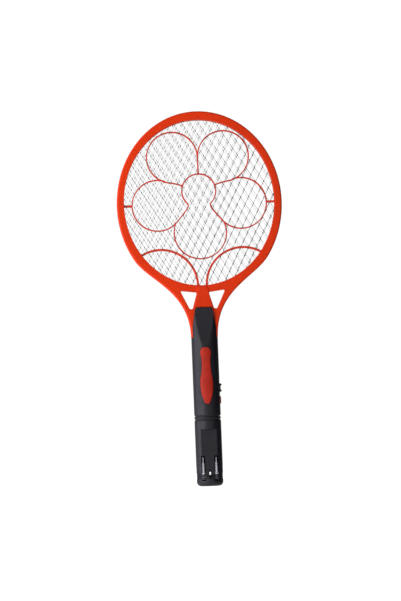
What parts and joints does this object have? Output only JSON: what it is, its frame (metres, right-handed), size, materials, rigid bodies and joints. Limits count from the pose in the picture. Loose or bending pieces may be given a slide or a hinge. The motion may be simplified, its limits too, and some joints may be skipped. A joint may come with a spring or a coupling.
{
  "type": "electric fly swatter",
  "caption": "Racket-shaped electric fly swatter with a layered wire net in an oval frame, a straight handle with side switches and a folding charging plug.",
  "frame": {"origin": "middle of the hand grip, on the axis of the handle", "axes": "+Z along the handle towards the net head, -Y out of the front face, +X to the right seen from the front, the side with the switches"},
  "size_m": [0.227, 0.0346, 0.5153],
  "materials": {
    "frame_plastic": "moulded orange-red ABS, satin gloss",
    "spacer_plastic": "moulded red ABS ribs",
    "net_steel": "thin bright zinc-coated steel wire",
    "handle_plastic": "charcoal ABS with a fine spark-eroded grain",
    "grip_rubber": "soft-touch red elastomer inlay",
    "button_plastic": "red push button",
    "knob_plastic": "black slide knob",
    "pin_metal": "nickel-plated brass pins",
    "screw_steel": "zinc-plated screws",
    "brass_strip": "bent brass strip",
    "led_resin": "milky white resin lens",
    "battery_case": "pale grey battery case",
    "board_laminate": "brown paper laminate",
    "ferrite": "dark sintered ferrite",
    "winding_wrap": "yellow tape over the copper winding",
    "film_resin": "dipped red-brown film capacitor",
    "sand_resin": "sand-coloured resistor body",
    "black_epoxy": "moulded black component body",
    "red_wire": "red wire insulation",
    "black_wire": "black wire insulation"
  },
  "bodies": {
    "racket": {"head_frame_front": "frame_plastic", "head_frame_rear": "frame_plastic", "front_net": "net_steel", "centre_net": "net_steel", "rear_net": "net_steel", "front_spacer": "spacer_plastic", "rear_spacer": "spacer_plastic", "outer_net_terminal": "brass_strip", "centre_net_terminal": "brass_strip", "handle_front_shell": "handle_plastic", "handle_rear_shell": "handle_plastic", "grip_insert": "grip_rubber", "handle_screw_1": "screw_steel", "handle_screw_2": "screw_steel", "handle_screw_3": "screw_steel", "throat_screw_left": "screw_steel", "throat_screw_right": "screw_steel", "power_switch_body": "black_epoxy", "zap_switch_body": "black_epoxy", "plug_bracket": "handle_plastic", "plug_contact_left": "brass_strip", "plug_contact_right": "brass_strip", "charge_led": "led_resin", "battery": "battery_case", "circuit_board": "board_laminate", "transformer_core": "ferrite", "transformer_winding": "winding_wrap", "storage_capacitor": "film_resin", "dropper_capacitor": "film_resin", "rectifier_diode_1": "black_epoxy", "rectifier_diode_2": "black_epoxy", "rectifier_diode_3": "black_epoxy", "rectifier_diode_4": "black_epoxy", "transistor": "black_epoxy", "bleed_resistor": "sand_resin", "base_resistor": "sand_resin", "net_lead_left": "black_wire", "net_lead_right": "red_wire", "battery_lead_left": "black_wire", "battery_lead_right": "red_wire", "charger_lead_left": "black_wire", "charger_lead_right": "black_wire"},
    "power_switch": {"power_switch_knob": "knob_plastic"},
    "zap_button": {"zap_button": "button_plastic"},
    "plug": {"plug_carrier": "handle_plastic", "plug_pin_left": "pin_metal", "plug_pin_right": "pin_metal"}
  },
  "joints": [
    {"name": "power_switch_slide", "type": "slide", "parent": "racket", "child": "power_switch", "axis": [0, 0, 1], "range_m": [0, 0.004]},
    {"name": "zap_button_press", "type": "slide", "parent": "racket", "child": "zap_button", "axis": [-1, 0, 0], "range_m": [0, 0.0012], "stiffness_N_per_m": 500},
    {"name": "plug_fold", "type": "hinge", "parent": "racket", "child": "plug", "pos_m": [0, -0.0088, -0.1387], "axis": [1, 0, 0], "range_deg": [0, 90]}
  ]
}
